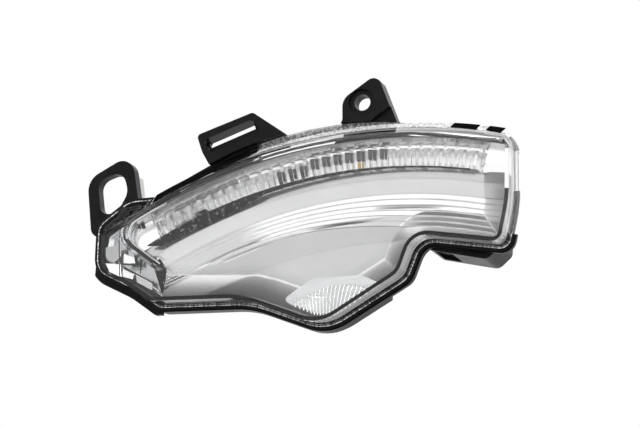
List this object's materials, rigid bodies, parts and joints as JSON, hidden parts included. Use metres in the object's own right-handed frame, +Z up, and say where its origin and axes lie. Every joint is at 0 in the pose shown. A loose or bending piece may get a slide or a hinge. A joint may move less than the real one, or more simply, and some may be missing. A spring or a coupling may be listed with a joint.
{
  "type": "side repeater lamp",
  "caption": "Curved clear side repeater lamp in a black housing, with a prism light bar, a fluted puddle lens, a screw ear, a loop ear and a hook bracket.",
  "frame": {"origin": "on the axis of the screw ear, in the joint plane between lens flange and housing rim", "axes": "+X along the lamp towards its deep inboard end, +Y backwards into the mirror, +Z up"},
  "size_m": [0.1811, 0.041, 0.1007],
  "materials": {
    "black_shell": "black with a fine texture, glossier on the step's underside",
    "clear_lens": "clear and polished",
    "satin_reflector": "pale grey satin",
    "clear_guide": "clear, cut into prisms or flutes",
    "black_trim": "plain black",
    "board": "green solder resist",
    "led_amber": "pale body with an amber dome",
    "led_white": "pale yellow emitter",
    "capacitor_body": "tan",
    "steel": "zinc plated",
    "jumper_film": "pale film",
    "contact": "tinned brass",
    "membrane": "white felt-like film",
    "pale_tab": "translucent off-white"
  },
  "bodies": {
    "root": {"housing": "black_shell", "outer_lens": "clear_lens", "reflector": "satin_reflector", "light_guide": "clear_guide", "guide_carrier": "black_trim", "side_optic": "clear_guide", "puddle_lens": "clear_guide", "signal_board": "board", "signal_led_1": "led_amber", "signal_led_2": "led_amber", "signal_led_3": "led_amber", "signal_led_4": "led_amber", "signal_led_5": "led_amber", "signal_led_6": "led_amber", "driver_chip": "black_trim", "resistors": "black_trim", "capacitor": "capacitor_body", "puddle_board": "board", "puddle_led": "led_white", "board_screws": "steel", "flat_jumper": "jumper_film", "terminal_1": "contact", "terminal_2": "contact", "terminal_3": "contact", "terminal_4": "contact", "vent_membrane": "membrane", "locating_tab": "pale_tab"}
  },
  "joints": []
}
